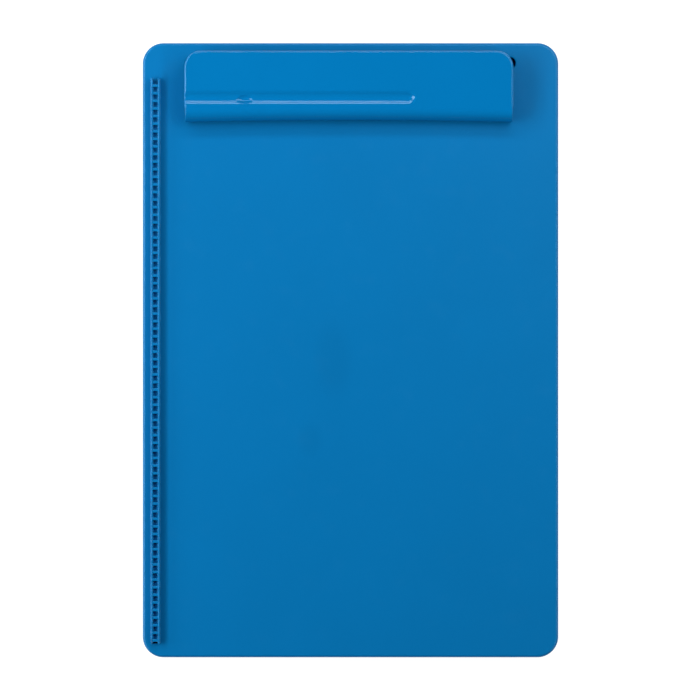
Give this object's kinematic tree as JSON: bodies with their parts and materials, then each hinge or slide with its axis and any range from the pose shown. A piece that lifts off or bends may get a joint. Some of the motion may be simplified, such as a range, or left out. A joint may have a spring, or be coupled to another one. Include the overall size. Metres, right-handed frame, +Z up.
{
  "type": "storage clipboard box",
  "caption": "Slim A4 storage box whose lid is a writing board, with a wide sprung clip that has a pen groove, a ribbed paper stop rail, a side hinge and a sliding catch.",
  "frame": {"origin": "under the middle of the closed box, on the plane that its feet stand on", "axes": "+X across the board towards the latch side, +Y along the board towards the clip, +Z up out of the writing face"},
  "size_m": [0.23, 0.34, 0.0353],
  "materials": {
    "board_plastic": "fine satin texture",
    "tray_plastic": "fine satin texture",
    "clip_plastic": "smooth gloss",
    "rubber": "matt",
    "steel": "drawn and zinc plated",
    "spring_steel": "drawn wire"
  },
  "bodies": {
    "base": {"tray": "tray_plastic", "hinge_pin_upper": "steel", "hinge_pin_lower": "steel", "latch_cover": "tray_plastic", "latch_screws": "steel", "foot_upper_left": "rubber", "foot_upper_right": "rubber", "foot_lower_left": "rubber", "foot_lower_right": "rubber"},
    "lid": {"lid_board": "board_plastic", "clip_bracket_left": "clip_plastic", "clip_bracket_right": "clip_plastic", "clip_rod": "steel", "rod_cap_left": "steel", "rod_cap_right": "steel", "clip_spring_left": "spring_steel", "clip_spring_right": "spring_steel", "clip_screws": "steel"},
    "clip": {"clip_lever": "clip_plastic", "jaw_pad": "rubber"},
    "latch": {"latch_slider": "tray_plastic"}
  },
  "joints": [
    {"name": "lid_hinge", "type": "hinge", "parent": "base", "child": "lid", "pos_m": [-0.1108, 0, 0.0164], "axis": [0, -1, 0], "range_deg": [0, 108]},
    {"name": "clip_pivot", "type": "hinge", "parent": "lid", "child": "clip", "pos_m": [-0.0009, 0.149, 0.0284], "axis": [-1, 0, 0], "range_deg": [0, 24], "stiffness_Nm_per_rad": 0.62, "springref_deg": -22.17, "deforming": ["clip_spring_left", "clip_spring_right"]},
    {"name": "latch_slide", "type": "slide", "parent": "base", "child": "latch", "axis": [0, 1, 0], "range_m": [0, 0.004]}
  ]
}
